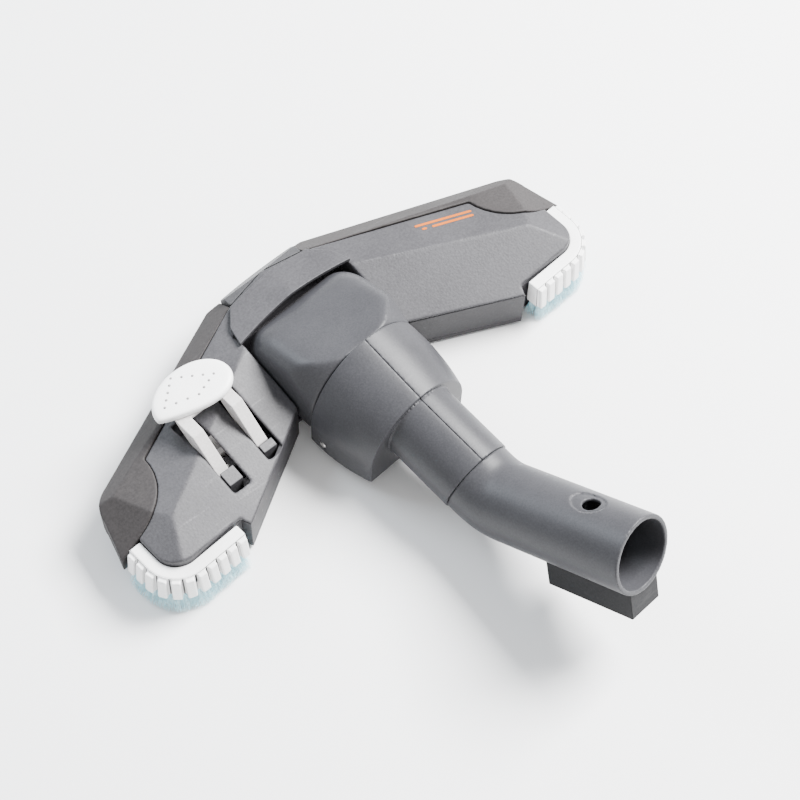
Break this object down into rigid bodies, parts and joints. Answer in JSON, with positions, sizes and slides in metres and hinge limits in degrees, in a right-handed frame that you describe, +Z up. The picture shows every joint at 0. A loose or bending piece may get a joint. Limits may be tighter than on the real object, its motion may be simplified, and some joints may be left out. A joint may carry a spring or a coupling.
{
  "type": "vacuum cleaner floor head",
  "caption": "Swept-back vacuum floor head with a foot pedal for its brush strip, bristled corner combs, a tilting wheeled neck and a swivelling bent elbow that takes the wand.",
  "frame": {"origin": "on the floor, under the middle of the object's whole length and width", "axes": "+X across the head to its right, +Y forward out of the head's front edge, +Z up"},
  "size_m": [0.2824, 0.2492, 0.0788],
  "materials": {
    "cover_grey": "fine spark-eroded grain, satin",
    "tray_grey": "fine moulded grain",
    "bumper_grey": "soft-touch, matt",
    "neck_grey": "smooth satin",
    "comb_white": "semi-gloss",
    "pedal_white": "semi-gloss",
    "bristle_blue": "nylon filament",
    "bright_steel": "drawn and tumbled",
    "wheel_black": "smooth",
    "tyre_soft": "matt elastomer",
    "lint_red": "one-way nap"
  },
  "bodies": {
    "head": {"sole_plate": "tray_grey", "lower_tray": "tray_grey", "top_cover": "cover_grey", "centre_band": "cover_grey", "front_lip": "bumper_grey", "bumper_right": "bumper_grey", "bumper_left": "bumper_grey", "comb_right": "comb_white", "comb_left": "comb_white", "comb_bristles_right": "bristle_blue", "comb_bristles_left": "bristle_blue", "cover_screws": "bright_steel", "lint_strip_right": "lint_red", "lint_strip_left": "lint_red", "roller_pin_right": "bright_steel", "roller_pin_left": "bright_steel", "pivot_blocks": "tray_grey", "pedal_pin": "bright_steel", "pedal_spring": "bright_steel", "return_springs": "bright_steel"},
    "front_roller_right": {"front_roller_right": "wheel_black"},
    "front_roller_left": {"front_roller_left": "wheel_black"},
    "pedal": {"pedal_plate": "pedal_white", "pedal_lever": "pedal_white"},
    "brush_strip": {"brush_carrier": "tray_grey", "carrier_bristles": "bristle_blue"},
    "neck": {"hinge_barrel": "neck_grey", "neck_half_right": "neck_grey", "neck_half_left": "neck_grey", "air_duct": "neck_grey", "wheel_axle": "bright_steel"},
    "rear_wheel_right": {"rear_wheel_right": "wheel_black", "rear_tyre_right": "tyre_soft"},
    "rear_wheel_left": {"rear_wheel_left": "wheel_black", "rear_tyre_left": "tyre_soft"},
    "elbow": {"elbow_tube": "neck_grey", "park_hook": "neck_grey", "swivel_clip": "comb_white"}
  },
  "joints": [
    {"name": "front_roller_right_spin", "type": "hinge", "parent": "head", "child": "front_roller_right", "pos_m": [0.054, 0.059, 0.0045], "axis": [1, 0, 0], "continuous": true},
    {"name": "front_roller_left_spin", "type": "hinge", "parent": "head", "child": "front_roller_left", "pos_m": [-0.054, 0.059, 0.0045], "axis": [1, 0, 0], "continuous": true},
    {"name": "pedal_press", "type": "hinge", "parent": "head", "child": "pedal", "pos_m": [-0.0703, 0.054, 0.0245], "axis": [-1, 0, 0], "range_deg": [0, 12], "stiffness_Nm_per_rad": 0.12, "springref_deg": -8.59},
    {"name": "brush_strip_drop", "type": "slide", "parent": "head", "child": "brush_strip", "axis": [0, 0, -1], "range_m": [0, 0.00362], "deforming": ["return_springs"]},
    {"name": "neck_tilt", "type": "hinge", "parent": "head", "child": "neck", "pos_m": [0, 0.071, 0.021], "axis": [-1, 0, 0], "range_deg": [0, 50]},
    {"name": "rear_wheel_right_spin", "type": "hinge", "parent": "neck", "child": "rear_wheel_right", "pos_m": [0.024, 0.037, 0.013], "axis": [1, 0, 0], "continuous": true},
    {"name": "rear_wheel_left_spin", "type": "hinge", "parent": "neck", "child": "rear_wheel_left", "pos_m": [-0.024, 0.037, 0.013], "axis": [1, 0, 0], "continuous": true},
    {"name": "elbow_swivel", "type": "hinge", "parent": "neck", "child": "elbow", "pos_m": [0, -0.0284, 0.0284], "axis": [0, 0.9945, 0.105], "range_deg": [-98.5, 71.5]}
  ],
  "couplings": [
    {"joint": "brush_strip_drop", "follows": "pedal_press", "m_per_rad": 0.01719}
  ]
}
